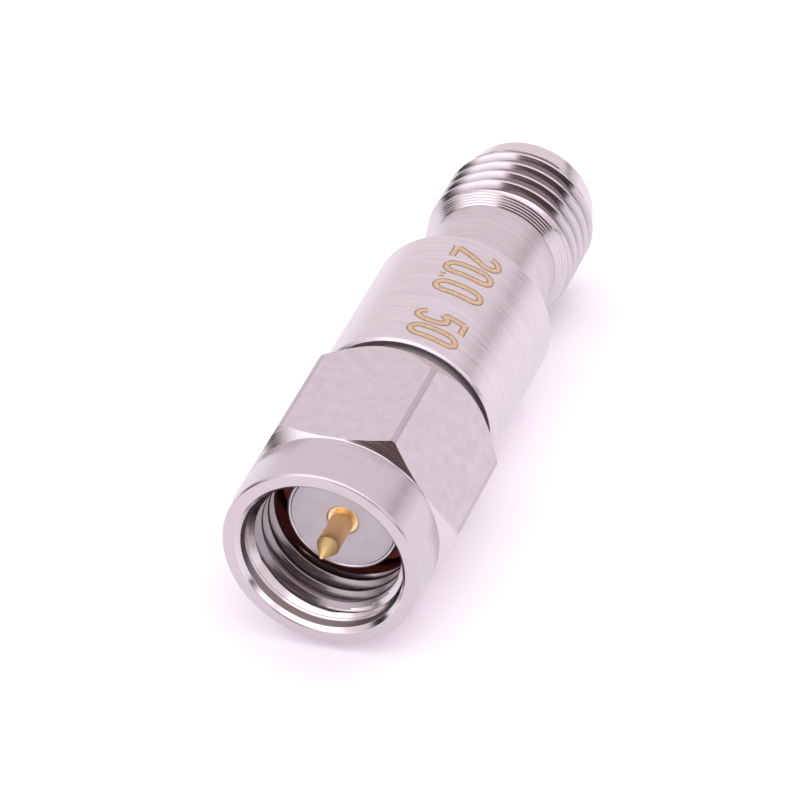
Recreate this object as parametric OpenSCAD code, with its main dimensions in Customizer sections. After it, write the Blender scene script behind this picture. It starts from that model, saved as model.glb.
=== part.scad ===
// Coaxial fixed attenuator: a threaded plug with a free coupling nut at one end,
// a threaded jack at the other, and a resistive card in the barrel between them.
// The axis is Y, from the plug to the jack. The origin is the centre of the
// plug's reference plane, where its ferrule meets the mating jack.

/* [Coupling nut] */
// Width of the nut across its flats
nut_flats = 8; // [7.9:0.05:8.6]
// How far the turned-down corners stand outside the flats
nut_corner_rise = 0.57; // [0.3:0.01:0.6]
// How far the round collar at the nut's mouth lies inside the flats
nut_collar_step = 0.05; // [0.02:0.01:0.3]
// Length of the round collar
nut_collar_len = 2.42; // [1.8:0.02:3]
// Length of the hexagon
nut_hex_len = 6.33; // [6:0.01:8]
// How far the nut's mouth stands in front of the reference plane
nut_reach = 2.6; // [2.5:0.02:3]
// Radial width of the bevel inside the mouth's flat lip
nut_lip_bevel = 0.18; // [0.1:0.01:0.3]
// Radial step from the thread's crests out to the plain entry inside the mouth
nut_entry_step = 0.38; // [0.3:0.01:0.46]
// Length of the plain entry
nut_entry_len = 0.54; // [0.3:0.02:0.8]
// Length of the conical lead from the entry to the thread
nut_lead_len = 0.58; // [0.3:0.02:0.8]
// Diameter of the nut's bore at the thread's crests
nut_thread_d = 5.74; // [5.7:0.01:5.8]
// Length of the nut's thread
nut_thread_len = 2.03; // [1.4:0.01:2.2]
// Radial gap between the gasket and the nut's relief behind the thread
nut_relief_gap = 0.1; // [0.05:0.01:0.3]
// Slope of the hexagon's chamfer beside the collar, in degrees
nut_front_slope = 30; // [20:1:45]
// Slope of the hexagon's chamfer at its rear, in degrees
nut_rear_slope = 50; // [30:1:55]
// How far the nut can slide back along the plug
nut_float = 0.3; // [0.1:0.02:0.4]
// Gap between the nut and the barrel
nut_gap = 0.75; // [0.7:0.01:1.2]

/* [Plug] */
// Wall of the plug's ferrule round the insulator
ferrule_wall = 0.185; // [0.15:0.005:0.3]
// Diameter of the centre pin
pin_d = 0.914; // [0.88:0.002:0.94]
// How far the pin's tip stands in front of the reference plane
pin_reach = 2.43; // [2:0.01:2.48]
// Length of the pin's conical point
pin_point_len = 0.77; // [0.4:0.01:1]
// Diameter of the flat on the pin's tip
pin_tip_d = 0.12; // [0.06:0.02:0.3]
// Outer diameter of the plug's shell under the nut
shell_d = 5.9; // [5.8:0.02:6]
// Distance from the reference plane back to the gasket
gasket_setback = 1.82; // [1.7:0.01:1.9]
// Thickness of the gasket
gasket_t = 0.75; // [0.5:0.01:1]
// How far the gasket stands in front of its seat
gasket_proud = 0.18; // [0.1:0.01:0.3]
// Radial step from the ferrule up to the gasket's seat
gasket_seat_step = 0.17; // [0.16:0.01:0.3]
// Radial width of the gasket
gasket_width = 0.73; // [0.5:0.01:0.75]
// Length of the shell's flange between the gasket and the ring's groove
flange_len = 1.42; // [1.2:0.02:1.8]
// Outer diameter of the shell's collar against the barrel
shell_collar_d = 6.5; // [6.3:0.02:7.2]
// Thickness of the shell's collar
shell_collar_t = 0.3; // [0.2:0.02:0.34]
// Length of the shell's spigot inside the barrel
spigot_len = 2; // [1.5:0.05:2.4]

/* [Retaining ring] */
// Thickness of the ring along the axis
ring_t = 0.5; // [0.3:0.02:0.6]
// How deep the ring reaches into the shell
ring_depth = 0.4; // [0.3:0.01:0.45]
// How far the ring stands out of the shell
ring_height = 0.43; // [0.3:0.01:0.5]
// Width of the split in the ring
ring_split = 1.2; // [0.6:0.05:2]

/* [Barrel] */
// Outer diameter of the barrel
barrel_d = 7.5; // [7.3:0.05:8]
// Length of the barrel
barrel_len = 7.5; // [7:0.05:12]
// Chamfer on the barrel's front and rear edges
barrel_chamfer = 0.1; // [0.04:0.01:0.2]
// Thickness of the barrel's inner web at the jack's side of its cavity, inside the barrel
cavity_web = 1; // [0.8:0.05:1.5]
// Inner diameter of the barrel's cavity
cavity_d = 5.34; // [5.1:0.02:5.5]

/* [Jack] */
// Diameter of the neck between the barrel and the thread
neck_d = 5.36; // [5.2:0.02:5.5]
// Length of the neck
neck_len = 3.9; // [3:0.05:6]
// Outer diameter of the jack's thread
jack_thread_d = 6.35; // [6.2:0.01:6.35]
// Length of the thread, from the neck to the plain pilot
jack_thread_len = 3.95; // [3.5:0.05:6]
// Length of the cone from the neck up to the thread
jack_runout = 0.4; // [0.2:0.02:0.6]
// Length of the cone from the thread down to the pilot
jack_chamfer_len = 0.3; // [0.2:0.02:0.5]
// Diameter of the plain pilot in front of the thread
jack_pilot_d = 5.66; // [5.5:0.02:5.8]
// Length of the pilot
jack_pilot_len = 0.75; // [0.4:0.05:1]
// Depth of the jack's mouth down to its reference plane
jack_bore_depth = 1.93; // [1.88:0.01:2]
// Depth of the hole in the jack's socket
socket_hole_depth = 2.9; // [2.6:0.05:3.2]
// Width of the slots in the jack's socket
socket_slot = 0.14; // [0.1:0.01:0.15]
// Length of the slots in the jack's socket
socket_slot_len = 2.4; // [1.8:0.05:2.6]

/* [Coaxial line] */
// Diameter of the centre conductors inside the insulators
contact_d = 1.27; // [1.2:0.01:1.35]
// Diameter of the insulators
dielectric_d = 4.19; // [4:0.01:4.3]
// Diameter of the centre conductors beside the card
rod_d = 1; // [0.9:0.02:1.1]
// Inner diameter of the air line round the card
air_d = 2.3; // [2.2:0.02:2.6]
// Length of the web between the cavity and the jack's insulator
line_web = 1.6; // [1.2:0.05:2.5]

/* [Attenuator card] */
// Width of the card
card_w = 3.3; // [3:0.05:3.6]
// Thickness of the card
card_t = 0.4; // [0.3:0.02:0.5]
// Distance from the sleeves' ends to the card's ends
card_margin = 0.45; // [0.3:0.02:0.7]
// How far each fork reaches over the card
fork_reach = 0.85; // [0.5:0.05:1.1]

/* [Clearances] */
// Radial gap between the turning nut and the shell, and round the ring
nut_play = 0.1; // [0.05:0.01:0.15]
// Radial gap between the jack's mouth and a ferrule of the plug's size
jack_play = 0.02; // [0.01:0.005:0.04]
// Radial gap between the jack's socket and a pin of the plug's size
socket_play = 0.013; // [0.005:0.001:0.03]
// Gap on each side of the ring in its grooves
ring_play = 0.03; // [0.01:0.01:0.06]
// Gap between pieces that are pressed or laid together
seat_gap = 0.01; // [0.005:0.005:0.02]
// Recess of the contacts behind their reference planes
contact_recess = 0.02; // [0:0.01:0.1]

/* [Hidden] */
$fn = 96;

// Stations along the axis, from the nut's mouth to the jack's end
nut_mouth_y = -nut_reach;
nut_collar_y = nut_mouth_y + nut_collar_len;
nut_rear_y = nut_collar_y + nut_hex_len;
barrel_front_y = nut_rear_y + nut_gap;
cavity_front_y = barrel_front_y + spigot_len;
barrel_rear_y = barrel_front_y + barrel_len;
cavity_rear_y = barrel_rear_y - cavity_web;
jack_insulator_y = cavity_rear_y + line_web;
jack_thread_y = barrel_rear_y + neck_len;
jack_pilot_y = jack_thread_y + jack_thread_len;
jack_end_y = jack_pilot_y + jack_pilot_len;
jack_plane_y = jack_end_y - jack_bore_depth;

// Stations of the ring, its grooves and the gasket
flange_y = gasket_setback + gasket_t;
groove_y = flange_y + flange_len;
groove_rear_y = groove_y + ring_t + nut_float + 2 * ring_play;
nut_groove_rear_y = groove_y + ring_t + 2 * ring_play;

// Stations inside the nut
nut_entry_y = nut_mouth_y + nut_entry_len;
nut_thread_y = nut_entry_y + nut_lead_len;
nut_relief_y = nut_thread_y + nut_thread_len;
nut_land_len = 0.6;
nut_land_y = groove_y - nut_land_len;

// Stations of the card and the forks that hold it
card_front_y = cavity_front_y + card_margin;
card_rear_y = cavity_rear_y - card_margin;

// Diameters that follow from the sizes above
insulator_bore_d = dielectric_d + 2 * seat_gap;
ferrule_d = insulator_bore_d + 2 * ferrule_wall;
gasket_seat_d = ferrule_d + 2 * gasket_seat_step;
gasket_bore_d = gasket_seat_d + 2 * seat_gap;
gasket_d = gasket_bore_d + 2 * gasket_width;
ring_inner_d = shell_d - 2 * ring_depth;
ring_outer_d = shell_d + 2 * ring_height;
shell_groove_d = ring_inner_d - 2 * nut_play;
nut_groove_d = ring_outer_d + 2 * nut_play;
nut_bore_d = shell_d + 2 * nut_play;
nut_relief_d = max(gasket_d + 2 * nut_relief_gap, nut_bore_d);
nut_entry_d = nut_thread_d + 2 * nut_entry_step;
nut_lip_d = nut_entry_d + 2 * nut_lip_bevel;
nut_collar_d = nut_flats - 2 * nut_collar_step;
nut_corner_d = nut_flats + 2 * nut_corner_rise;
jack_bore_d = ferrule_d + 2 * jack_play;
socket_hole_d = pin_d + 2 * socket_play;

// Small edges
nut_mouth_edge = 0.08;
nut_rear_step = 0.1;
lip_bevel_depth = 0.1;
small_edge = 0.06;
cut = 1;

steel = [0.80, 0.78, 0.79];
gold = [0.86, 0.66, 0.28];
ptfe = [0.94, 0.94, 0.95];
silicone = [0.24, 0.05, 0.04];
spring_bronze = [0.78, 0.58, 0.36];
plated_brass = [0.85, 0.74, 0.48];
alumina = [0.93, 0.92, 0.88];

// A turned solid about the Y axis, from a section of [diameter, station] points
module turned(section) {
    rotate([-90, 0, 0])
        rotate_extrude()
            polygon([for (point = section) [point[0] / 2, point[1]]]);
}

// A plain round bar or hole about the Y axis
module round_bar(d, from_y, to_y) {
    translate([0, from_y, 0])
        rotate([-90, 0, 0])
            cylinder(d = d, h = to_y - from_y);
}

// The barrel, the neck and the jack's threaded end, turned from one bar
module barrel_body() {
    spigot_bore_d = shell_d + 2 * seat_gap;
    color(steel)
        turned([
            [spigot_bore_d, barrel_front_y],
            [barrel_d - 2 * barrel_chamfer, barrel_front_y],
            [barrel_d, barrel_front_y + barrel_chamfer],
            [barrel_d, barrel_rear_y - barrel_chamfer],
            [barrel_d - 2 * barrel_chamfer, barrel_rear_y],
            [neck_d, barrel_rear_y],
            [neck_d, jack_thread_y],
            [jack_thread_d, jack_thread_y + jack_runout],
            [jack_thread_d, jack_pilot_y - jack_chamfer_len],
            [jack_pilot_d, jack_pilot_y],
            [jack_pilot_d, jack_end_y - small_edge],
            [jack_pilot_d - 2 * small_edge, jack_end_y],
            [jack_bore_d + 2 * small_edge, jack_end_y],
            [jack_bore_d, jack_end_y - small_edge],
            [jack_bore_d, jack_plane_y],
            [insulator_bore_d, jack_plane_y],
            [insulator_bore_d, jack_insulator_y],
            [air_d, jack_insulator_y],
            [air_d, cavity_rear_y],
            [cavity_d, cavity_rear_y],
            [cavity_d, cavity_front_y],
            [spigot_bore_d, cavity_front_y]
        ]);
}

// The plug's outer conductor: ferrule, flange, ring groove, collar and spigot
module plug_shell() {
    gasket_seat_y = gasket_setback + gasket_proud;
    color(steel)
        turned([
            [insulator_bore_d, 0],
            [ferrule_d - 2 * small_edge, 0],
            [ferrule_d, small_edge],
            [ferrule_d, gasket_seat_y],
            [gasket_seat_d, gasket_seat_y],
            [gasket_seat_d, flange_y],
            [shell_d, flange_y],
            [shell_d, groove_y],
            [shell_groove_d, groove_y],
            [shell_groove_d, groove_rear_y],
            [shell_d, groove_rear_y],
            [shell_d, barrel_front_y - shell_collar_t],
            [shell_collar_d, barrel_front_y - shell_collar_t],
            [shell_collar_d, barrel_front_y],
            [shell_d, barrel_front_y],
            [shell_d, cavity_front_y],
            [air_d, cavity_front_y],
            [air_d, barrel_front_y],
            [insulator_bore_d, barrel_front_y]
        ]);
}

// The nut's outside as a turned blank, before the flats are cut
module nut_blank() {
    rear_edge_d = nut_flats - 2 * nut_rear_step;
    front_rise = (nut_corner_d - nut_collar_d) / 2 * tan(nut_front_slope);
    rear_rise = (nut_corner_d - rear_edge_d) / 2 * tan(nut_rear_slope);
    turned([
        [0, nut_mouth_y],
        [nut_collar_d - 2 * nut_mouth_edge, nut_mouth_y],
        [nut_collar_d, nut_mouth_y + nut_mouth_edge],
        [nut_collar_d, nut_collar_y],
        [nut_corner_d, nut_collar_y + front_rise],
        [nut_corner_d, nut_rear_y - rear_rise],
        [rear_edge_d, nut_rear_y],
        [0, nut_rear_y]
    ]);
}

// The nut's inside: mouth, lead, thread, relief, ring groove and rear bore
module nut_inside() {
    turned([
        [0, nut_mouth_y - cut],
        [nut_lip_d, nut_mouth_y - cut],
        [nut_lip_d, nut_mouth_y],
        [nut_entry_d, nut_mouth_y + lip_bevel_depth],
        [nut_entry_d, nut_entry_y],
        [nut_thread_d, nut_thread_y],
        [nut_thread_d, nut_relief_y],
        [nut_relief_d, nut_relief_y + (nut_relief_d - nut_thread_d) / 2],
        [nut_relief_d, nut_land_y],
        [nut_bore_d, nut_land_y],
        [nut_bore_d, groove_y],
        [nut_groove_d, groove_y],
        [nut_groove_d, nut_groove_rear_y],
        [nut_bore_d, nut_groove_rear_y],
        [nut_bore_d, nut_rear_y + cut],
        [0, nut_rear_y + cut]
    ]);
}

// The coupling nut, with one flat facing straight down
module coupling_nut() {
    across_corners = nut_flats / cos(30);
    color(steel)
        difference() {
            intersection() {
                nut_blank();
                translate([0, nut_mouth_y - cut, 0])
                    rotate([-90, 0, 0])
                        cylinder(d = across_corners, h = nut_rear_y - nut_mouth_y + 2 * cut, $fn = 6);
            }
            nut_inside();
        }
}

// The split ring that holds the nut on the shell
module retaining_ring() {
    ring_y = groove_y + ring_play;
    color(spring_bronze)
        difference() {
            round_bar(ring_outer_d, ring_y, ring_y + ring_t);
            round_bar(ring_inner_d, ring_y - cut, ring_y + ring_t + cut);
            translate([-ring_split / 2, ring_y - cut, 0])
                cube([ring_split, ring_t + 2 * cut, ring_outer_d]);
        }
}

// The flat silicone ring that the mating jack presses on
module sealing_gasket() {
    color(silicone)
        turned([
            [gasket_bore_d, gasket_setback],
            [gasket_d - 2 * small_edge, gasket_setback],
            [gasket_d, gasket_setback + small_edge],
            [gasket_d, flange_y],
            [gasket_bore_d, flange_y]
        ]);
}

// A plain bead of insulator round a centre conductor
module insulator_bead(from_y, to_y) {
    bead_bore_d = contact_d + 2 * seat_gap;
    color(ptfe)
        turned([
            [bead_bore_d, from_y],
            [dielectric_d, from_y],
            [dielectric_d, to_y],
            [bead_bore_d, to_y]
        ]);
}

module plug_insulator() {
    insulator_bead(0, barrel_front_y);
}

module jack_insulator() {
    insulator_bead(jack_insulator_y, jack_plane_y);
}

// The slot across a rod that grips the card, as deep as the fork reaches
module fork_slot(from_y, to_y) {
    slot_t = card_t + 2 * seat_gap;
    translate([-rod_d, from_y, -slot_t / 2])
        cube([2 * rod_d, to_y - from_y, slot_t]);
}

// The plug's centre contact: point, pin, body, rod and fork
module plug_pin() {
    fork_end_y = card_front_y + fork_reach;
    color(gold)
        difference() {
            turned([
                [0, -pin_reach],
                [pin_tip_d, -pin_reach],
                [pin_d, -pin_reach + pin_point_len],
                [pin_d, contact_recess],
                [contact_d, contact_recess],
                [contact_d, barrel_front_y],
                [rod_d, barrel_front_y],
                [rod_d, fork_end_y],
                [0, fork_end_y]
            ]);
            fork_slot(card_front_y - seat_gap, fork_end_y + cut);
        }
}

// The jack's centre contact: slotted socket, body, rod and fork
module jack_socket() {
    fork_end_y = card_rear_y - fork_reach;
    mouth_y = jack_plane_y - contact_recess;
    slot_turns = [0, 90];
    color(gold)
        difference() {
            turned([
                [0, fork_end_y],
                [rod_d, fork_end_y],
                [rod_d, jack_insulator_y],
                [contact_d, jack_insulator_y],
                [contact_d, mouth_y],
                [socket_hole_d + 2 * small_edge, mouth_y],
                [socket_hole_d, mouth_y - small_edge],
                [socket_hole_d, mouth_y - socket_hole_depth],
                [0, mouth_y - socket_hole_depth]
            ]);
            fork_slot(fork_end_y - cut, card_rear_y + seat_gap);
            for (turn = slot_turns)
                rotate([0, turn, 0])
                    translate([-socket_slot / 2, mouth_y - socket_slot_len, -contact_d])
                        cube([socket_slot, socket_slot_len + cut, 2 * contact_d]);
        }
}

// The ceramic card that carries the resistive film
module attenuator_card() {
    color(alumina)
        translate([-card_w / 2, card_front_y, -card_t / 2])
            cube([card_w, card_rear_y - card_front_y, card_t]);
}

// One half of the split sleeve that clamps and grounds the card's long edges
module ground_sleeve_half() {
    sleeve_d = cavity_d - 2 * seat_gap;
    pocket_w = card_w + 2 * seat_gap;
    pocket_t = card_t + 2 * seat_gap;
    difference() {
        round_bar(sleeve_d, cavity_front_y, cavity_rear_y);
        round_bar(air_d, cavity_front_y - cut, cavity_rear_y + cut);
        translate([-pocket_w / 2, card_front_y - seat_gap, -pocket_t / 2])
            cube([pocket_w, card_rear_y - card_front_y + 2 * seat_gap, pocket_t]);
        translate([-sleeve_d, cavity_front_y - cut, -sleeve_d])
            cube([2 * sleeve_d, cavity_rear_y - cavity_front_y + 2 * cut, sleeve_d]);
    }
}

module ground_sleeve_upper() {
    color(plated_brass)
        ground_sleeve_half();
}

module ground_sleeve_lower() {
    color(plated_brass)
        mirror([0, 0, 1])
            ground_sleeve_half();
}

barrel_body();
plug_shell();
coupling_nut();
retaining_ring();
sealing_gasket();
plug_insulator();
plug_pin();
ground_sleeve_upper();
ground_sleeve_lower();
attenuator_card();
jack_insulator();
jack_socket();
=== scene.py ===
# %% [markdown]
# # A coaxial attenuator, turned and dressed
# The object is a small in-line attenuator for a coaxial cable: a plug with a loose coupling nut, a
# barrel, and a threaded jack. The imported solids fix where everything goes. This lesson turns the
# visible pieces again with finer edges and real threads, and gives each one its own finish.

# %% Load the solids
import math

import bmesh
import bpy
from mathutils import Matrix, Vector


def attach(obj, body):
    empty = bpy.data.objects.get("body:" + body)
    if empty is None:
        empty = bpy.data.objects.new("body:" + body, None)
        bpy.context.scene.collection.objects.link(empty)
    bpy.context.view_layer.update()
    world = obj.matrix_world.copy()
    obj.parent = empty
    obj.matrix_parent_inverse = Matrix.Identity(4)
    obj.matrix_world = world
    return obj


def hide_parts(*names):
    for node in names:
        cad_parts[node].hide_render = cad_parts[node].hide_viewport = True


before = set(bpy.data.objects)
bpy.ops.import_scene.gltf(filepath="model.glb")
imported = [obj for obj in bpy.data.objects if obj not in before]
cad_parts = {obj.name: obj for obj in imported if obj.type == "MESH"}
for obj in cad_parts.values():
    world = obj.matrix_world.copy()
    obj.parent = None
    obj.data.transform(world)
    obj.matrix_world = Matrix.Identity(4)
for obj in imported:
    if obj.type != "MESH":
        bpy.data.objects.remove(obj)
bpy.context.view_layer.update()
scene = bpy.context.scene
MM = 0.001

# %% [markdown]
# ## Camera
# The photograph was taken from in front of the plug, a little to its right and well above it, with a
# long lens. The place and the turn below come from fitting the nut's and the barrel's edges.

# %% Camera
SENSOR_MM = 36
LENS_MM = 231.4
CAMERA_PLACE_MM = (61.763, -145.597, 115.733)
CAMERA_TURN_DEG = (54.976, 4.175, 19.130)
camera_data = bpy.data.cameras.new("photo camera")
camera_data.sensor_width = SENSOR_MM
camera_data.lens = LENS_MM
camera_data.clip_start = 0.01
camera_data.clip_end = 10
camera = bpy.data.objects.new("photo camera", camera_data)
camera.location = Vector(CAMERA_PLACE_MM) * MM
camera.rotation_euler = [math.radians(turn) for turn in CAMERA_TURN_DEG]
scene.collection.objects.link(camera)
scene.camera = camera
scene.view_settings.view_transform = "Standard"
print("camera distance in mm:", round(camera.location.length / MM, 1))

# %% [markdown]
# ## Colours and nodes
# Colours are written as sRGB hex values, the way a colour picker shows them, and one function turns
# them to the linear values that shaders use. A second function adds any node with its settings and
# links, so that a material reads as a list of nodes. Patterns are laid out in millimetres.

# %% Colour and node helpers
def linear(hex_colour):
    channels = [int(hex_colour[i : i + 2], 16) / 255 for i in (1, 3, 5)]
    return [c / 12.92 if c <= 0.04045 else ((c + 0.055) / 1.055) ** 2.4 for c in channels] + [1]


def add(tree, kind, inputs, **settings):
    node = tree.nodes.new(kind)
    for name, value in settings.items():
        setattr(node, name, value)
    for key, value in inputs.items():
        if isinstance(value, bpy.types.NodeSocket):
            tree.links.new(value, node.inputs[key])
        else:
            node.inputs[key].default_value = value
    return node


def new_material(name):
    material = bpy.data.materials.new(name)
    material.use_nodes = True
    tree = material.node_tree
    tree.nodes.clear()
    position = add(tree, "ShaderNodeTexCoord", {}).outputs["Object"]
    in_mm = add(tree, "ShaderNodeVectorMath", {0: position, "Scale": 1 / MM}, operation="SCALE")
    return material, tree, in_mm.outputs["Vector"]


def close_material(tree, shader):
    add(tree, "ShaderNodeOutputMaterial", {"Surface": shader.outputs["BSDF"]})


print("steel grey in linear light:", [round(c, 3) for c in linear("#D6CAD0")[:3]])

# %% [markdown]
# ## Studio
# The object lay in a white tent: white all round, with the dark room showing only through the opening
# in front, where the camera stood, and as thin dark edges at the sides. Polished metal has no colour of
# its own to speak of, so these dark places are what draw its edges. The world below paints them by
# direction, soft at their borders, for reflections alone. Matte surfaces and the camera get plain
# white.

# %% Directions in the tent
world = bpy.data.worlds.new("white tent")
world.use_nodes = True
scene.world = world
tree = world.node_tree
tree.nodes.clear()
direction = add(tree, "ShaderNodeTexCoord", {}).outputs["Generated"]
parts = add(tree, "ShaderNodeSeparateXYZ", {0: direction})
front = add(tree, "ShaderNodeMath", {0: parts.outputs["Y"], 1: -1}, operation="MULTIPLY")
azimuth_rad = add(
    tree,
    "ShaderNodeMath",
    {0: parts.outputs["X"], 1: front.outputs[0]},
    operation="ARCTAN2",
)
azimuth = add(tree, "ShaderNodeMath", {0: azimuth_rad.outputs[0]}, operation="DEGREES")
elevation_rad = add(tree, "ShaderNodeMath", {0: parts.outputs["Z"]}, operation="ARCSINE")
elevation = add(tree, "ShaderNodeMath", {0: elevation_rad.outputs[0]}, operation="DEGREES")


def between(value, low, high, soft):
    rise = add(
        tree,
        "ShaderNodeMapRange",
        {"Value": value, "From Min": low - soft, "From Max": low + soft},
        interpolation_type="SMOOTHSTEP",
    )
    fall = add(
        tree,
        "ShaderNodeMapRange",
        {"Value": value, "From Min": high - soft, "From Max": high + soft, "To Min": 1, "To Max": 0},
        interpolation_type="SMOOTHSTEP",
    )
    return add(
        tree,
        "ShaderNodeMath",
        {0: rise.outputs[0], 1: fall.outputs[0]},
        operation="MULTIPLY",
    )


print("nodes for a direction:", len(tree.nodes))

# %% Places in the tent
# Each place: azimuth from and to, elevation from and to, softness, colour, brightness
PLACES = {
    "soft box above the camera": (-95, 80, 46, 88, 4, "#FFFAFD", 1.7),
    "soft box beside the camera": (-46, 54, 12, 48, 4, "#FFFAFD", 1.7),
    "dark room under the camera": (-11, 38, -3, 31, 3, "#5A4644", 1),
    "edge of the table": (18, 64, -5, 6, 3, "#1C1A1E", 1),
    "slit in the tent's left side": (-84, -49, -16, 17, 4, "#0E0C10", 1),
    "seam in the tent's right side": (118, 160, 10, 16, 3, "#948C91", 1),
}
TENT = linear("#FCF4F8")
reflected = TENT
for az_low, az_high, el_low, el_high, soft, colour, gain in PLACES.values():
    across = between(azimuth.outputs[0], az_low, az_high, soft)
    upward = between(elevation.outputs[0], el_low, el_high, soft)
    mask = add(
        tree,
        "ShaderNodeMath",
        {0: across.outputs[0], 1: upward.outputs[0]},
        operation="MULTIPLY",
    )
    place_colour = [gain * channel for channel in linear(colour)]
    mixed = add(
        tree,
        "ShaderNodeMix",
        {0: mask.outputs[0], 6: reflected, 7: place_colour},
        data_type="RGBA",
    )
    reflected = mixed.outputs[2]
light_path = add(tree, "ShaderNodeLightPath", {})
lighting = add(
    tree,
    "ShaderNodeMix",
    {0: light_path.outputs["Is Glossy Ray"], 6: TENT, 7: reflected},
    data_type="RGBA",
)
seen = add(
    tree,
    "ShaderNodeMix",
    {0: light_path.outputs["Is Camera Ray"], 6: lighting.outputs[2], 7: (1, 1, 1, 1)},
    data_type="RGBA",
)
background = add(tree, "ShaderNodeBackground", {"Color": seen.outputs[2], "Strength": 1})
add(tree, "ShaderNodeOutputWorld", {"Surface": background.outputs[0]})
print("places in the tent:", ", ".join(PLACES))

# %% [markdown]
# ## Floor and lamps
# The nut is the widest piece, and the barrel is heavier than the nut, so the object rests on the rear
# edge of one flat and on the barrel's rear edge. The floor leans by that small angle. It is white paper
# in bright light. For the camera it is a little past white, so that only the object's shadow shows on
# it, and a small tinted glow keeps that shadow pale. In the metal's reflections the glow is larger.

# %% Floor
NUT_FLAT_Z = -4.0
NUT_REAR_Y = 6.15
BARREL_REAR_Y = 14.4
BARREL_Z = -3.75
FLOOR_HALF = 600
lean = (BARREL_Z - NUT_FLAT_Z) / (BARREL_REAR_Y - NUT_REAR_Y)
bm = bmesh.new()
bmesh.ops.create_grid(bm, x_segments=1, y_segments=1, size=FLOOR_HALF * MM)
for vert in bm.verts:
    vert.co.z = NUT_FLAT_Z * MM + lean * (vert.co.y - NUT_REAR_Y * MM)
floor_mesh = bpy.data.meshes.new("paper_floor")
bm.to_mesh(floor_mesh)
bm.free()
floor = bpy.data.objects.new("paper_floor", floor_mesh)
scene.collection.objects.link(floor)
print("floor leans by", round(math.degrees(math.atan(lean)), 2), "degrees")

# %% White paper
PAPER_WHITE = linear("#F6F6F6")
PAPER_SEEN_WHITE = [1.16, 1.16, 1.16, 1]
PAPER_SEEN_SHARE = 0.1
PAPER_SEEN_GLOW = 1.36
PAPER_SEEN_HUE = (1, 0.7, 1.05, 1)
PAPER_MIRRORED_SHARE = 0.35
PAPER_MIRRORED_GLOW = 1.42
PAPER_MIRRORED_HUE = (1, 0.97, 1.02, 1)
paper = bpy.data.materials.new("white paper")
paper.use_nodes = True
tree = paper.node_tree
tree.nodes.clear()
light_path = add(tree, "ShaderNodeLightPath", {})
seen, mirrored = light_path.outputs["Is Camera Ray"], light_path.outputs["Is Glossy Ray"]
mirrored_share = add(
    tree,
    "ShaderNodeMath",
    {0: mirrored, 1: PAPER_MIRRORED_SHARE},
    operation="MULTIPLY",
)
share = add(
    tree,
    "ShaderNodeMath",
    {0: seen, 1: PAPER_SEEN_SHARE, 2: mirrored_share.outputs[0]},
    operation="MULTIPLY_ADD",
)
glow = add(tree, "ShaderNodeMix", {0: mirrored, 2: PAPER_SEEN_GLOW, 3: PAPER_MIRRORED_GLOW})
hue = add(
    tree,
    "ShaderNodeMix",
    {0: mirrored, 6: PAPER_SEEN_HUE, 7: PAPER_MIRRORED_HUE},
    data_type="RGBA",
)
white = add(
    tree,
    "ShaderNodeMix",
    {0: seen, 6: PAPER_WHITE, 7: PAPER_SEEN_WHITE},
    data_type="RGBA",
)
matte = add(tree, "ShaderNodeBsdfDiffuse", {"Color": white.outputs[2]})
lit = add(tree, "ShaderNodeEmission", {"Color": hue.outputs[2], "Strength": glow.outputs[0]})
both = add(
    tree,
    "ShaderNodeMixShader",
    {0: share.outputs[0], 1: matte.outputs[0], 2: lit.outputs[0]},
)
add(tree, "ShaderNodeOutputMaterial", {"Surface": both.outputs[0]})
floor_mesh.materials.append(paper)
print("floor finish:", paper.name)

# %% Lamps
TARGET = Vector((0, 9, 0)) * MM
# Each lamp: azimuth, elevation, distance and size in mm, brightness, colour
LAMPS = {
    "overhead": (110, 68, 320, 180, 0.9, "#FFFAFD"),
    "overhead front": (30, 66, 320, 220, 0.6, "#FFFAFD"),
}
for name, (az, el, distance, size, radiance, colour) in LAMPS.items():
    lamp_data = bpy.data.lights.new(name, "AREA")
    lamp_data.size = size * MM
    lamp_data.energy = radiance * math.pi * (size * MM) ** 2
    lamp_data.color = linear(colour)[:3]
    lamp = bpy.data.objects.new(name, lamp_data)
    az, el = math.radians(az), math.radians(el)
    back = Vector((math.sin(az) * math.cos(el), -math.cos(az) * math.cos(el), math.sin(el)))
    lamp.location = TARGET + back * distance * MM
    lamp.rotation_mode = "QUATERNION"
    lamp.rotation_quaternion = (-back).to_track_quat("-Z", "Y")
    lamp.visible_glossy = False
    scene.collection.objects.link(lamp)
    print(name, "lamp:", round(lamp_data.energy, 3), "W")

# %% [markdown]
# ## Stainless steel
# The body and the nut are stainless steel. A lathe leaves fine rings round a turned surface and
# concentric rings on a face. One noise makes both: it changes fast along the axis and along the radius,
# and slowly round the circle. A picture of brushed metal would stretch and repeat, and a noise doesn't.
# The rings are drawn a little coarser than real ones, so that they show.
# A thread's grooves may get painted shade: a darker colour towards the root that fades outwards, for
# the shade that falls in them.

# %% Turned metal
RING_REACH_MM = 2.5
NOISE_LOW, NOISE_HIGH = 0.3, 0.7
GLOSS_BELOW, GLOSS_ABOVE = 0.06, 0.08


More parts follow.
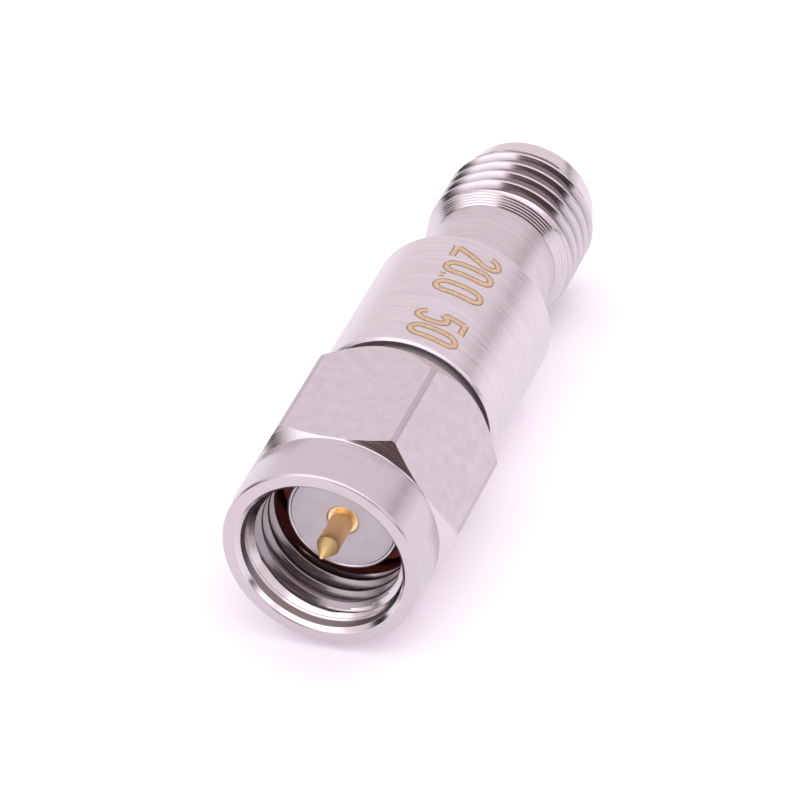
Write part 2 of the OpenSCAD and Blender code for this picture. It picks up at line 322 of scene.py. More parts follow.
def turned_metal(name, colour, pale, ring_mm, ring_depth_mm, roughness, stretch, groove=None):
    material, tree, place = new_material(name)
    axes = add(tree, "ShaderNodeSeparateXYZ", {0: place})
    flat = add(tree, "ShaderNodeVectorMath", {0: place, 1: (1, 0, 1)}, operation="MULTIPLY")
    radius = add(tree, "ShaderNodeVectorMath", {0: flat.outputs[0]}, operation="LENGTH")
    around = add(
        tree,
        "ShaderNodeVectorMath",
        {0: flat.outputs[0], "Scale": 1 / RING_REACH_MM},
        operation="SCALE",
    )
    outward = add(
        tree,
        "ShaderNodeMath",
        {0: radius.outputs["Value"], 1: 1 / ring_mm},
        operation="MULTIPLY",
    )
    along = add(tree, "ShaderNodeMath", {0: axes.outputs["Y"], 1: 1 / ring_mm}, operation="MULTIPLY")
    ring_axes = add(tree, "ShaderNodeSeparateXYZ", {0: around.outputs[0]})
    ring_place = add(
        tree,
        "ShaderNodeCombineXYZ",
        {"X": ring_axes.outputs["X"], "Y": outward.outputs[0], "Z": ring_axes.outputs["Z"]},
    )
    rings = add(
        tree,
        "ShaderNodeTexNoise",
        {
            "Vector": ring_place.outputs[0],
            "W": along.outputs[0],
            "Scale": 1,
            "Detail": 3,
            "Roughness": 0.6,
        },
        noise_dimensions="4D",
    )
    tone = add(
        tree,
        "ShaderNodeMapRange",
        {"Value": rings.outputs[0], "From Min": NOISE_LOW, "From Max": NOISE_HIGH},
    )
    paint = add(
        tree,
        "ShaderNodeMix",
        {0: tone.outputs[0], 6: linear(colour), 7: linear(pale)},
        data_type="RGBA",
    )
    # Painted shade in a thread's grooves: the colour darkens from the crest towards the root
    if groove:
        root_r, unshaded_r, groove_shade_colour = groove
        unshaded_share = add(
            tree,
            "ShaderNodeMapRange",
            {"Value": radius.outputs["Value"], "From Min": root_r, "From Max": unshaded_r},
        )
        paint = add(
            tree,
            "ShaderNodeMix",
            {0: unshaded_share.outputs[0], 6: linear(groove_shade_colour), 7: paint.outputs[2]},
            data_type="RGBA",
        )
    gloss = add(
        tree,
        "ShaderNodeMapRange",
        {
            "Value": rings.outputs[0],
            "From Min": NOISE_LOW,
            "From Max": NOISE_HIGH,
            "To Min": roughness - GLOSS_BELOW,
            "To Max": roughness + GLOSS_ABOVE,
        },
    )
    relief = add(
        tree,
        "ShaderNodeBump",
        {"Height": rings.outputs[0], "Strength": 1, "Distance": ring_depth_mm * MM},
    )
    circle = add(tree, "ShaderNodeTangent", {}, direction_type="RADIAL", axis="Y")
    shader = add(
        tree,
        "ShaderNodeBsdfPrincipled",
        {
            "Base Color": paint.outputs[2],
            "Metallic": 1,
            "Roughness": gloss.outputs[0],
            "Anisotropic": stretch,
            "Anisotropic Rotation": 0.25,
            "Tangent": circle.outputs[0],
            "Normal": relief.outputs[0],
        },
    )
    close_material(tree, shader)
    return material


print("rings reach round the axis by about", RING_REACH_MM, "mm")

# %% Finishes of the turned steel
# Each finish: name, dark and pale colour, spacing and depth of the rings in mm, roughness, stretch of
# the highlight, and for a thread the groove's root radius, the radius where its painted shade ends, and
# the shade's colour
# Clear rings and a soft highlight along the bar
barrel_steel = turned_metal(
    "stainless steel, fine turned", "#D4C9CF", "#E6DDE2", 0.1, 0.008, 0.28, 0.6
)
# Finer rings, a little darker and more even
neck_steel = turned_metal("stainless steel, neck", "#C9BEC4", "#DDD3D8", 0.07, 0.004, 0.3, 0.6)
# Almost no rings, with a smooth sheen that runs round the collar
collar_steel = turned_metal(
    "stainless steel, turned nut collar", "#CBC0C6", "#D7CDD3", 0.05, 0.001, 0.26, 0.6
)
# Near a mirror, so that small chamfers flash white or black
thread_steel = turned_metal(
    "stainless steel, burnished thread", "#D6CCD1", "#E2DADE", 0.05, 0.0005, 0.17, 0.0
)
# Bright crests over grooves with painted shade, darker towards the root
jack_steel = turned_metal(
    "stainless steel, cut thread",
    "#CFC5CB",
    "#DCD3D8",
    0.05,
    0.0005,
    0.15,
    0.0,
    # Painted shade in the grooves: root radius, radius where it ends, and its colour
    (2.9, 3.1, "#A39A9F"),
)
# Painted shade: a darker grey for the depth of the nut, where little light reaches
shaded_bore_steel = turned_metal(
    "stainless steel, bored and tapped", "#978D92", "#A69CA1", 0.05, 0.0005, 0.22, 0.3
)
# Painted shade: a darker grey for faces down in the gap between the nut and the barrel and in the nut's
# entry
gap_shade_steel = turned_metal(
    "stainless steel, painted shade in the gap", "#B8B0B4", "#C4BCC0", 0.05, 0.001, 0.3, 0.3
)
# Painted shade: a darker, matte grey line between two flats, for the shade along the rounded corner
corner_shade_steel = turned_metal(
    "stainless steel, hexagon corner", "#BDB2B8", "#CABFC5", 0.05, 0.0005, 0.38, 0.0
)
print("turned steels:", barrel_steel.name, "|", collar_steel.name, "|", thread_steel.name)

# %% [markdown]
# The nut's flats are not turned. They are the skin of the drawn hexagon bar, tumbled to a fine even
# matte with faint clouds in it, so their noise has no direction.

# %% Drawn hexagon steel
CLOUD_MM = 0.5
GRAIN_MM = 0.07
GRAIN_DEPTH_MM = 0.002
flat_steel, tree, place = new_material("stainless steel, drawn and tumbled")
cloud = add(
    tree,
    "ShaderNodeTexNoise",
    {"Vector": place, "Scale": 1 / CLOUD_MM, "Detail": 5, "Roughness": 0.6},
)
grain = add(
    tree,
    "ShaderNodeTexNoise",
    {"Vector": place, "Scale": 1 / GRAIN_MM, "Detail": 2, "Roughness": 0.5},
)
tone = add(
    tree,
    "ShaderNodeMapRange",
    {"Value": cloud.outputs[0], "From Min": NOISE_LOW, "From Max": NOISE_HIGH},
)
paint = add(
    tree,
    "ShaderNodeMix",
    {0: tone.outputs[0], 6: linear("#CFC5CB"), 7: linear("#DDD4D9")},
    data_type="RGBA",
)
gloss = add(
    tree,
    "ShaderNodeMapRange",
    {
        "Value": cloud.outputs[0],
        "From Min": NOISE_LOW,
        "From Max": NOISE_HIGH,
        "To Min": 0.36,
        "To Max": 0.42,
    },
)
relief = add(
    tree,
    "ShaderNodeBump",
    {"Height": grain.outputs[0], "Strength": 1, "Distance": GRAIN_DEPTH_MM * MM},
)
shader = add(
    tree,
    "ShaderNodeBsdfPrincipled",
    {
        "Base Color": paint.outputs[2],
        "Metallic": 1,
        "Roughness": gloss.outputs[0],
        "Normal": relief.outputs[0],
    },
)
close_material(tree, shader)
print("flats:", flat_steel.name)

# %% [markdown]
# ## Gold, PTFE and silicone
# The contacts are gold-plated beryllium copper, turned and then plated, so they keep soft rings. The
# beads are PTFE, a waxy white plastic. The gasket is red-brown silicone rubber, matte and almost black
# in the depth of the nut. The ceramic card, its brass sleeve and the bronze ring are hidden.

# %% Gold plating
# Warm yellow with a soft gleam along the shank
gold = turned_metal(
    "gold plate on turned beryllium copper", "#F1C382", "#FFDCA2", 0.06, 0.0002, 0.3, 0.0
)
# Painted highlight: a paler gold for a wide gleam down the cone
gold_point_highlight = turned_metal(
    "gold plate, point with painted highlight", "#FFDA92", "#FFE4AC", 0.06, 0.0001, 0.5, 0.0
)
# Painted highlight: a paler gold for the bright ring where the shank meets the bead
gold_step_highlight = turned_metal("gold plate, step with painted highlight", "#FBDCA6", "#FFE8BE", 0.06, 0.0001, 0.27, 0.0)
print("contacts:", gold.name, "|", gold_point_highlight.name, "|", gold_step_highlight.name)

# %% Moulded and fired surfaces
CLOUD_LOW, CLOUD_HIGH = 0.35, 0.65


def moulded(name, colour, pale, cloud_mm, grain_mm, grain_depth_mm, roughness, ior=1.5):
    material, tree, place = new_material(name)
    cloud = add(tree, "ShaderNodeTexNoise", {"Vector": place, "Scale": 1 / cloud_mm, "Detail": 4})
    grain = add(tree, "ShaderNodeTexNoise", {"Vector": place, "Scale": 1 / grain_mm, "Detail": 3})
    tone = add(
        tree,
        "ShaderNodeMapRange",
        {"Value": cloud.outputs[0], "From Min": CLOUD_LOW, "From Max": CLOUD_HIGH},
    )
    paint = add(
        tree,
        "ShaderNodeMix",
        {0: tone.outputs[0], 6: linear(colour), 7: linear(pale)},
        data_type="RGBA",
    )
    relief = add(
        tree,
        "ShaderNodeBump",
        {"Height": grain.outputs[0], "Strength": 1, "Distance": grain_depth_mm * MM},
    )
    shader = add(
        tree,
        "ShaderNodeBsdfPrincipled",
        {
            "Base Color": paint.outputs[2],
            "Roughness": roughness,
            "IOR": ior,
            "Normal": relief.outputs[0],
        },
    )
    close_material(tree, shader)
    return material


print("clouds of a moulded surface run from", CLOUD_LOW, "to", CLOUD_HIGH)

# %% Finishes of the other materials
# Waxy white with faint clouds
ptfe = moulded("PTFE, skived and pressed", "#E9E2EC", "#F1EBF4", 0.8, 0.1, 0.001, 0.38, 1.35)
# Matte red-brown that swallows the light
silicone = moulded("silicone rubber, moulded", "#D05E4C", "#DA6A57", 0.6, 0.08, 0.004, 0.5, 1.41)
# Dry ivory white with a fine grit
alumina = moulded("alumina ceramic, fired", "#EDEAE0", "#F5F3EC", 0.5, 0.03, 0.001, 0.55, 1.76)
# Warm brown metal with the marks of the rolls
spring_bronze = turned_metal(
    "phosphor bronze, rolled strip", "#B07E4E", "#C79463", 0.08, 0.001, 0.3, 0.6
)
# Pale yellow metal under a thin flash of nickel
plated_brass = turned_metal(
    "nickel-flashed brass, turned", "#C9B27C", "#D8C493", 0.08, 0.001, 0.28, 0.6
)
print("plastics and ceramic:", ptfe.name, "|", silicone.name, "|", alumina.name)

# %% [markdown]
# ## Turning a section
# Nearly every piece was made on a lathe, so it is modelled the same way: half of its cross-section is
# drawn as a closed line of corners, each corner gets its broken edge, and the line is spun round the
# axis. Breaking the corners before the spin costs two or three points instead of a bevelled solid.
# A corner is a diameter, a station along the axis and the width of its broken edge, in millimetres.

# %% Lathe helpers
SPIN_STEPS = 192
EDGE_SEGMENTS = 3
SHARP_DEG = 8
MERGE_MM = 1e-5


def everything(bm):
    return bm.verts[:] + bm.edges[:] + bm.faces[:]


def turned(section):
    bm = bmesh.new()
    corners = [bm.verts.new((diameter / 2, station, 0)) for diameter, station, _ in section]
    for start, end in zip(corners, corners[1:] + corners[:1]):
        bm.edges.new((start, end))
    for corner, (_, _, edge) in zip(corners, section):
        if edge:
            bmesh.ops.bevel(
                bm,
                geom=[corner],
                offset=edge,
                segments=EDGE_SEGMENTS,
                profile=0.5,
                affect="VERTICES",
                material=-1,
            )
    bmesh.ops.spin(
        bm,
        geom=everything(bm),
        cent=(0, 0, 0),
        axis=(0, 1, 0),
        angle=math.tau,
        steps=SPIN_STEPS,
        use_merge=True,
    )
    bmesh.ops.remove_doubles(bm, verts=bm.verts[:], dist=MERGE_MM)
    bmesh.ops.recalc_face_normals(bm, faces=bm.faces[:])
    return bm


def join_into(bm, other):
    copy = bpy.data.meshes.new("joined")
    other.to_mesh(copy)
    other.free()
    bm.from_mesh(copy)
    bpy.data.meshes.remove(copy)


def make_piece(name, bm, materials, body, slot, *nodes):
    bmesh.ops.scale(bm, vec=(MM, MM, MM), verts=bm.verts[:])
    mesh = bpy.data.meshes.new(name)
    bm.to_mesh(mesh)
    bm.free()
    for material in materials:
        mesh.materials.append(material)
    mesh.shade_smooth()
    mesh.set_sharp_from_angle(angle=math.radians(SHARP_DEG))
    piece = bpy.data.objects.new(name, mesh)
    scene.collection.objects.link(piece)
    weighted = piece.modifiers.new("weighted normals", "WEIGHTED_NORMAL")
    weighted.keep_sharp = True
    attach(piece, body)
    if nodes:
        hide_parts(*nodes)
    print(name, "faces:", len(mesh.polygons))


print("steps in a full turn:", SPIN_STEPS)

# %% [markdown]
# ## Threads
# Both threads are the same fine thread, thirty-six turns to the inch. The wall is turned at the depth
# of the groove, and one ridge is swept along a helix on it: a spin that also moves along the axis at
# each step. Where the real tool runs out over a cone, the ridge's points are held to that cone. A
# Screw modifier could sweep the ridge too, but then its points couldn't be held.

# %% Thread helpers
PITCH = 25.4 / 36
THREAD_STEPS = 96
FLANK = math.tan(math.radians(30))
FLANK_STEPS = 5
CREST_EDGE = 0.025
CREST_SEGMENTS = 2
TOUCHING = 1e-6


def rotate(bm, angle, axis):
    bmesh.ops.rotate(bm, cent=(0, 0, 0), matrix=Matrix.Rotation(angle, 3, axis), verts=bm.verts[:])


def thread_ridge(root_r, crest_r, buried_r, crest_half, start_y, end_y, turn, limit):
    bm = bmesh.new()
    depth = crest_r - root_r
    root_half = crest_half + abs(depth) * FLANK
    shares = [step / FLANK_STEPS for step in range(FLANK_STEPS + 1)]
    flank = [(root_r + depth * s, root_half + (crest_half - root_half) * s) for s in shares]
    section = [(buried_r, -root_half)] + [(r, -along) for r, along in flank]
    section += flank[::-1] + [(buried_r, root_half)]
    face = bm.faces.new([bm.verts.new((r, start_y + along, 0)) for r, along in section])
    bmesh.ops.bevel(
        bm,
        geom=[vert for vert in face.verts if abs(vert.co.x - crest_r) < TOUCHING],
        offset=CREST_EDGE,
        segments=CREST_SEGMENTS,
        profile=0.5,
        affect="VERTICES",
        material=-1,
    )
    rotate(bm, turn, "Y")
    steps = round((end_y - start_y) / PITCH * THREAD_STEPS)
    bmesh.ops.spin(
        bm,
        geom=everything(bm),
        cent=(0, 0, 0),
        axis=(0, 1, 0),
        dvec=(0, PITCH / THREAD_STEPS, 0),
        angle=math.tau / THREAD_STEPS * steps,
        steps=steps,
    )
    for vert in bm.verts:
        radius = math.hypot(vert.co.x, vert.co.z)
        held = limit(vert.co.y, radius)
        vert.co.x *= held / radius
        vert.co.z *= held / radius
    bmesh.ops.recalc_face_normals(bm, faces=bm.faces[:])
    return bm


def on_line(value, start, end):
    share = min(max((value - start[0]) / (end[0] - start[0]), 0), 1)
    return start[1] + share * (end[1] - start[1])


print("pitch in mm:", round(PITCH, 4))

# %% [markdown]
# ## Barrel, neck and jack
# One bar makes the barrel, the neck and the threaded jack. The barrel's ends have a small bright
# chamfer, the neck is the finest-turned part, and the jack's mouth takes the mating plug's ferrule. The
# cone between the neck and the thread is cut in a few small steps, as the tool left it. One closed
# section holds the outside and the bores, so nothing has to be cut away afterwards.

# %% Steps of the runout
NECK_R = 2.68
NECK_END_Y = 18.30
RUNOUT_STEPS = 5
RUNOUT_R = 3.05
RUNOUT_END_Y = 18.75
STEP_SHARE = 0.9
rise = (RUNOUT_R - NECK_R) / RUNOUT_STEPS
runout = []
for step in range(RUNOUT_STEPS):
    start_y = NECK_END_Y + (RUNOUT_END_Y - NECK_END_Y) * step / RUNOUT_STEPS
    runout += [
        (2 * (NECK_R + rise * step), start_y, 0),
        (2 * (NECK_R + rise * (step + STEP_SHARE)), start_y + STEP_SHARE * rise * FLANK, 0.006),
    ]
print("each step rises by", round(rise, 3), "mm")

# %% Barrel body
BARREL_D = 7.50
BARREL_CHAMFER = 0.10
BARREL_FRONT_Y = 6.90
SHELL_SEAT_D = 5.92
SHELL_SEAT_Y = 8.90
CARD_BORE_D = 5.34
CARD_BORE_Y = 13.40
WEB_HOLE_D = 2.30
BEAD_BORE_D = 4.21
JACK_BEAD_Y = 15.00
JACK_PLANE_Y = 21.07
JACK_MOUTH_D = 4.62
JACK_END_Y = 23.00
JACK_CHAMFER = 0.06
JACK_ROOT_R = 2.742
PILOT_R = 2.83
PILOT_Y = 22.25
ROOT_END_Y = PILOT_Y - 0.1
body_bm = turned(
    [
        (SHELL_SEAT_D, BARREL_FRONT_Y, 0),
        (BARREL_D - 2 * BARREL_CHAMFER, BARREL_FRONT_Y, 0.02),
        (BARREL_D, BARREL_FRONT_Y + BARREL_CHAMFER, 0.02),
        (BARREL_D, BARREL_REAR_Y - BARREL_CHAMFER, 0.03),
        (BARREL_D - 2 * BARREL_CHAMFER, BARREL_REAR_Y, 0.03),
        (2 * NECK_R, BARREL_REAR_Y, 0.04),
        *runout,
        (2 * RUNOUT_R, RUNOUT_END_Y, 0.01),
        (2 * JACK_ROOT_R, RUNOUT_END_Y + (RUNOUT_R - JACK_ROOT_R) * FLANK, 0),
        (2 * JACK_ROOT_R, ROOT_END_Y, 0.03),
        (2 * PILOT_R, PILOT_Y, 0.03),
        (2 * PILOT_R - 0.02, JACK_END_Y - JACK_CHAMFER, 0.03),
        (2 * PILOT_R - 2 * JACK_CHAMFER, JACK_END_Y, 0.03),
        (JACK_MOUTH_D + 2 * JACK_CHAMFER, JACK_END_Y, 0.02),
        (JACK_MOUTH_D, JACK_END_Y - JACK_CHAMFER, 0.02),
        (JACK_MOUTH_D, JACK_PLANE_Y, 0),
        (BEAD_BORE_D, JACK_PLANE_Y, 0),
        (BEAD_BORE_D, JACK_BEAD_Y, 0),
        (WEB_HOLE_D, JACK_BEAD_Y, 0),
        (WEB_HOLE_D, CARD_BORE_Y, 0),
        (CARD_BORE_D, CARD_BORE_Y, 0),
        (CARD_BORE_D, SHELL_SEAT_Y, 0),
        (SHELL_SEAT_D, SHELL_SEAT_Y, 0),
    ]
)
print("corners of the barrel's section, spun:", len(body_bm.verts) // SPIN_STEPS)

# %% Finishes of the barrel body
BODY_FINISHES = [barrel_steel, thread_steel, gap_shade_steel, neck_steel, jack_steel]
_, IS_BRIGHT, IS_GAP, IS_NECK, IS_THREAD = range(len(BODY_FINISHES))
OUTSIDE_R = 2.3
FRONT_FACE_R = 3.64
FRONT_FACE_DEPTH = 0.001


def place_of(face):
    middle = face.calc_center_median()
    return middle.y, math.hypot(middle.x, middle.z)


for face in body_bm.faces:
    station, radius = place_of(face)
    if station > NECK_END_Y and radius > OUTSIDE_R:
        on_thread = RUNOUT_END_Y < station < ROOT_END_Y
        face.material_index = IS_THREAD if on_thread else IS_BRIGHT
    # The barrel's front face, down in the gap, gets painted shade
    elif station < BARREL_FRONT_Y + FRONT_FACE_DEPTH and radius < FRONT_FACE_R:
        face.material_index = IS_GAP
    elif station > BARREL_REAR_Y and radius > OUTSIDE_R:
        face.material_index = IS_NECK
print("faces of the neck:", sum(face.material_index == IS_NECK for face in body_bm.faces))

# %% Thread of the jack
JACK_CREST_R = 3.175
JACK_CREST_HALF = 0.044
JACK_BURIED_R = 2.5
JACK_THREAD_FROM_Y = NECK_END_Y - 0.4
JACK_THREAD_TO_Y = PILOT_Y + 0.3
JACK_TURN_DEG = -176
THREAD_FULL_Y = 18.92
THREAD_END_Y = 21.95
# The ridge ends a little under the neck and under the pilot, so that no sliver of it shows there
FRONT_FADE_R = NECK_R - 0.06
REAR_FADE_R = PILOT_R - 0.03


def jack_limit(y, radius):
    if y < THREAD_FULL_Y:
        return min(radius, on_line(y, (NECK_END_Y, FRONT_FADE_R), (THREAD_FULL_Y, JACK_CREST_R)))
    return min(radius, on_line(y, (THREAD_END_Y, JACK_CREST_R), (PILOT_Y, REAR_FADE_R)))


ridge = thread_ridge(
    JACK_ROOT_R,
    JACK_CREST_R,
    JACK_BURIED_R,
    JACK_CREST_HALF,
    JACK_THREAD_FROM_Y,
    JACK_THREAD_TO_Y,
    math.radians(JACK_TURN_DEG),
    jack_limit,
)
for face in ridge.faces:
    face.material_index = IS_THREAD
join_into(body_bm, ridge)
make_piece("barrel_and_jack", body_bm, BODY_FINISHES, "body", "steel_body", "barrel_body")

# %% [markdown]
# ## Plug shell
# The plug's outer conductor runs through the nut. Only two places of it show: the thin bright ferrule
# round the white bead, and the small collar in the dark gap between the nut and the barrel. The whole
# shell is turned all the same, because one section is less work than two rings that have to line up.

# %% Plug shell
FERRULE_D = 4.58
FERRULE_END_Y = 2.00
GASKET_SEAT_D = 4.92
GASKET_REAR_Y = 2.57
SHELL_D = 5.90
RING_GROOVE_D = 4.90
RING_FRONT_Y = 3.99
RING_REAR_Y = 4.85
SHELL_COLLAR_D = 6.50
SHELL_COLLAR_Y = 6.60
shell_bm = turned(
    [
        (BEAD_BORE_D, 0.05, 0),
        (4.28, 0.0, 0.035),
        (4.46, 0.0, 0.04),
        (FERRULE_D, 0.07, 0.04),
        (FERRULE_D, FERRULE_END_Y, 0),
        (GASKET_SEAT_D, FERRULE_END_Y, 0.02),
        (GASKET_SEAT_D, GASKET_REAR_Y, 0),
        (SHELL_D, GASKET_REAR_Y, 0.03),
        (SHELL_D, RING_FRONT_Y, 0.03),
        (RING_GROOVE_D, RING_FRONT_Y, 0),
        (RING_GROOVE_D, RING_REAR_Y, 0),
        (SHELL_D, RING_REAR_Y, 0.03),
        (SHELL_D, SHELL_COLLAR_Y, 0),
        (SHELL_COLLAR_D, SHELL_COLLAR_Y, 0.05),
        (SHELL_COLLAR_D, BARREL_FRONT_Y, 0),
        (SHELL_D, BARREL_FRONT_Y, 0),
        (SHELL_D, SHELL_SEAT_Y, 0),
        (WEB_HOLE_D, SHELL_SEAT_Y, 0),
        (WEB_HOLE_D, BARREL_FRONT_Y, 0),
        (BEAD_BORE_D, BARREL_FRONT_Y, 0),
    ]
)
SHELL_FINISHES = [thread_steel, gap_shade_steel]
for face in shell_bm.faces:
    station, _ = place_of(face)
    # Behind the gasket the shell gets painted shade for the gap
    face.material_index = 1 if station > GASKET_REAR_Y else 0
make_piece("plug_outer_conductor", shell_bm, SHELL_FINISHES, "body", "steel_body", "plug_shell")

# %% [markdown]
# ## Coupling nut
# The nut starts as a turned blank with a round collar and chamfered corners. Six planes then cut the
# flats, as they were on the hexagon bar, and every cut edge is broken by a narrow bevel. The lines that
# the spin left along the corner strips are dissolved first, so that each strip is one clean face. A
# hexagonal prism would be quicker, but it has no true curves where the flats meet the chamfers.

# %% Nut blank
NUT_MOUTH_Y = -2.60
NUT_MOUTH_D = 6.86
NUT_COLLAR_Y = -0.18
COLLAR_D = 7.90
LIP_CHAMFER = 0.08
ENTRY_D = 6.50
ENTRY_Y = -2.42
LEAD_Y = -2.06
NUT_CORNER_R = 4.57
NUT_REAR_D = 7.80
NUT_ROOT_R = 3.19
NUT_ROOT_FRONT_Y = -1.97
NUT_ROOT_REAR_Y = 0.87
RELIEF_D = 6.60
RELIEF_FRONT_Y = 0.98
RELIEF_REAR_Y = 3.39
SHELL_BORE_D = 6.10
RING_CHANNEL_D = 6.96
RING_CHANNEL_Y = 4.55
front_rise = (NUT_CORNER_R - COLLAR_D / 2) * math.tan(math.radians(30))
rear_rise = (NUT_CORNER_R - NUT_REAR_D / 2) * math.tan(math.radians(60))
nut_bm = turned(
    [
        (NUT_MOUTH_D, NUT_MOUTH_Y, 0.03),
        (COLLAR_D - 2 * LIP_CHAMFER, NUT_MOUTH_Y, 0.03),
        (COLLAR_D, NUT_MOUTH_Y + LIP_CHAMFER, 0.03),
        (COLLAR_D, NUT_COLLAR_Y, 0.035),
        (2 * NUT_CORNER_R, NUT_COLLAR_Y + front_rise, 0),
        (2 * NUT_CORNER_R, NUT_REAR_Y - rear_rise, 0),
        (NUT_REAR_D, NUT_REAR_Y, 0.03),
        (SHELL_BORE_D, NUT_REAR_Y, 0.03),
        (SHELL_BORE_D, RING_CHANNEL_Y, 0),
        (RING_CHANNEL_D, RING_CHANNEL_Y, 0),
        (RING_CHANNEL_D, RING_FRONT_Y, 0),
        (SHELL_BORE_D, RING_FRONT_Y, 0),
        (SHELL_BORE_D, RELIEF_REAR_Y, 0),
        (RELIEF_D, RELIEF_REAR_Y, 0),
        (RELIEF_D, RELIEF_FRONT_Y, 0),
        (2 * NUT_ROOT_R, NUT_ROOT_REAR_Y, 0),
        (2 * NUT_ROOT_R, NUT_ROOT_FRONT_Y, 0),
        (ENTRY_D, LEAD_Y, 0.02),
        (ENTRY_D, ENTRY_Y, 0.02),
    ]
)
print("chamfers rise by", round(front_rise, 3), "and", round(rear_rise, 3), "mm")

# %% Flats
NUT_FINISHES = [collar_steel, flat_steel, thread_steel, shaded_bore_steel, gap_shade_steel, corner_shade_steel]
_, IS_FLAT, IS_LEAD, IS_BORED, IS_ENTRY, IS_CORNER = range(len(NUT_FINISHES))
NUT_HALF_FLATS = 4.0


def cut_flat(bm, point, normal):
    cut = bmesh.ops.bisect_plane(
        bm,
        geom=everything(bm),
        plane_co=point,
        plane_no=normal,
        clear_outer=True,
    )
    rim = [part for part in cut["geom_cut"] if isinstance(part, bmesh.types.BMEdge)]
    return bmesh.ops.edgeloop_fill(bm, edges=rim)["faces"]


for turn in range(6):
    angle = math.radians(60 * turn)
    normal = Vector((math.sin(angle), 0, math.cos(angle)))
    for face in cut_flat(nut_bm, normal * NUT_HALF_FLATS, normal):
        face.material_index = IS_FLAT
bmesh.ops.recalc_face_normals(nut_bm, faces=nut_bm.faces[:])
print("flats cut:", sum(face.material_index == IS_FLAT for face in nut_bm.faces))

# %% Edges of the flats
LONG_EDGE = 1
LONG_BREAK = 0.045
SHORT_BREAK = 0.018
FLAT_AREA = 10
ON_CORNER = 1e-4
corner_lines = []
for edge in nut_bm.edges:
    radii = [math.hypot(vert.co.x, vert.co.z) for vert in edge.verts]
    on_corner = all(abs(radius - NUT_CORNER_R) < ON_CORNER for radius in radii)
    if on_corner and abs(edge.verts[0].co.y - edge.verts[1].co.y) > LONG_EDGE:
        corner_lines.append(edge)
bmesh.ops.dissolve_edges(nut_bm, edges=corner_lines, use_verts=True)
# Each bevel: the lengths that its edges are between, and its width
BREAKS = ((LONG_EDGE, math.inf, LONG_BREAK), (0, LONG_EDGE, SHORT_BREAK))
for shortest, longest, width in BREAKS:
    flats = [
        face
        for face in nut_bm.faces
        if face.material_index == IS_FLAT and face.calc_area() > FLAT_AREA
    ]
    edges = {
        edge for face in flats for edge in face.edges if shortest < edge.calc_length() <= longest
    }
    bmesh.ops.bevel(
        nut_bm,
        geom=list(edges),
        offset=width,
        segments=EDGE_SEGMENTS,
        profile=0.5,
        affect="EDGES",
        material=-1,
        clamp_overlap=True,
    )
    print("edges broken by", width, "mm:", len(edges))

# %% Finishes of the nut
CORNER_STRIP_R = 4.5
FRONT_CHAMFER_R = 3.96
HEXAGON_R = 3.9
BORE_R = 3.44
ENTRY_R = 3.3
LEAD_FINISH_Y = -1.4
ALONG_AXIS = 0.1
FACING_FRONT = -0.5
nut_bm.normal_update()
for face in nut_bm.faces:
    station, radius = place_of(face)
    level = abs(face.normal.y) < ALONG_AXIS
    lead = LEAD_Y < station < LEAD_FINISH_Y
    # The corner strips get a darker grey as painted shade
    if radius > CORNER_STRIP_R and level:
        face.material_index = IS_CORNER
    # The nut's entry bore gets painted shade
    elif radius < ENTRY_R and ENTRY_Y < station < LEAD_Y:
        face.material_index = IS_ENTRY
    elif radius > HEXAGON_R and station > NUT_COLLAR_Y and level:
        face.material_index = IS_FLAT
    elif radius > FRONT_CHAMFER_R and face.normal.y < FACING_FRONT:
        face.material_index = IS_LEAD
    # Inside the bore, apart from the lead, the steel gets painted shade
    elif radius < BORE_R:
        face.material_index = IS_LEAD if lead or station < ENTRY_Y else IS_BORED
print("faces of the corners:", sum(face.material_index == IS_CORNER for face in nut_bm.faces))

# %% Thread of the nut
NUT_CREST_R = 2.87
NUT_CREST_HALF = 0.088
NUT_BURIED_R = 3.55
NUT_THREAD_FROM_Y = -2.12
NUT_THREAD_TO_Y = 1.1
LEAD_R = 3.27
LEAD_END_Y = -1.48
INNER_FADE_R = 3.32
INNER_FADE_Y = 0.55


def nut_limit(y, radius):
    if y < 0:
        return max(radius, on_line(y, (LEAD_Y, LEAD_R), (LEAD_END_Y, NUT_CREST_R)))
    return max(radius, on_line(y, (INNER_FADE_Y, NUT_CREST_R), (RELIEF_FRONT_Y, INNER_FADE_R)))


ridge = thread_ridge(
    NUT_ROOT_R,
    NUT_CREST_R,
    NUT_BURIED_R,
    NUT_CREST_HALF,
    NUT_THREAD_FROM_Y,
    NUT_THREAD_TO_Y,
    0.0,
    nut_limit,
)
for face in ridge.faces:
    station, _ = place_of(face)
    # Past the lead, the nut's ridge gets the steel with painted shade
    face.material_index = IS_LEAD if station < LEAD_END_Y else IS_BORED
join_into(nut_bm, ridge)
make_piece("hexagon_coupling_nut", nut_bm, NUT_FINISHES, "nut", "steel_nut", "coupling_nut")

# %% [markdown]
# ## Bead, pin and gasket
# Inside the mouth sit the white bead, the gold pin with its cone point, and the soft red-brown gasket
# that a mating jack presses on. The jack has a bead of the same diameter, flush with its inner face.
# All are turned like the steel, and only wider broken edges make the gasket look soft.

# %% Beads and gasket
BEAD_D = 4.19
BEAD_HOLE_D = 1.29
BEAD_EDGE = 0.03
GASKET_D = 6.40
GASKET_HOLE_D = 4.94
GASKET_FRONT_Y = 1.82


def bead(name, front_y, rear_y, node):
    bm = turned(
        [
            (BEAD_HOLE_D, front_y, BEAD_EDGE),
            (BEAD_D, front_y, BEAD_EDGE),
            (BEAD_D, rear_y, BEAD_EDGE),
            (BEAD_HOLE_D, rear_y, BEAD_EDGE),
        ]
    )
    make_piece(name, bm, [ptfe], "body", "ptfe", node)


